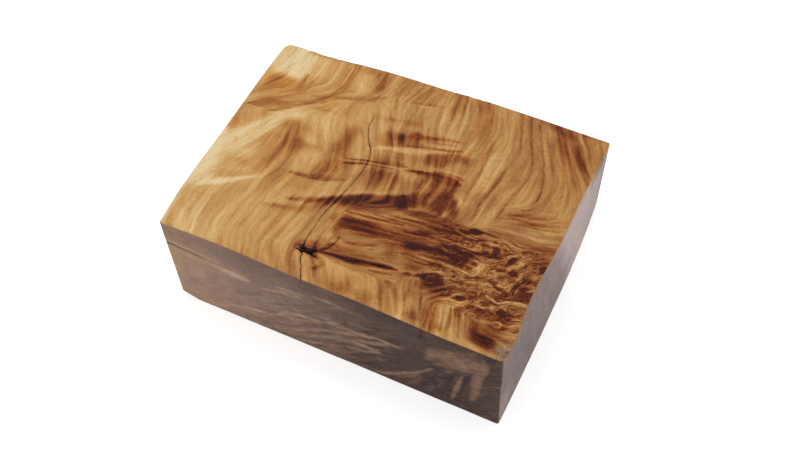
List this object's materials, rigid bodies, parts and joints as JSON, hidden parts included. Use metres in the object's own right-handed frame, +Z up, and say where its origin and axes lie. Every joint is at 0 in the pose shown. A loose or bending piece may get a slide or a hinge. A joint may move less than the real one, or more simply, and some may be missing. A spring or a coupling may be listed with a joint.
{
  "type": "stabilized burl wood block",
  "caption": "Rectangular block of resin-stabilised burl wood, planed flat above and below, sawn by eye on its sides, with a bark pit and fine cracks in its top.",
  "frame": {"origin": "on the flat bottom face, at the middle of the block's bounding box", "axes": "+X along the block's length, towards the burl end; +Y across it, towards the side with the wavy edge of the log; +Z up, out of the face with the bark pit"},
  "size_m": [0.1427, 0.1131, 0.043],
  "materials": {
    "burl_wood": "sawn and planed, sealed with clear satin resin"
  },
  "bodies": {
    "root": {"burl_block": "burl_wood"}
  },
  "joints": []
}
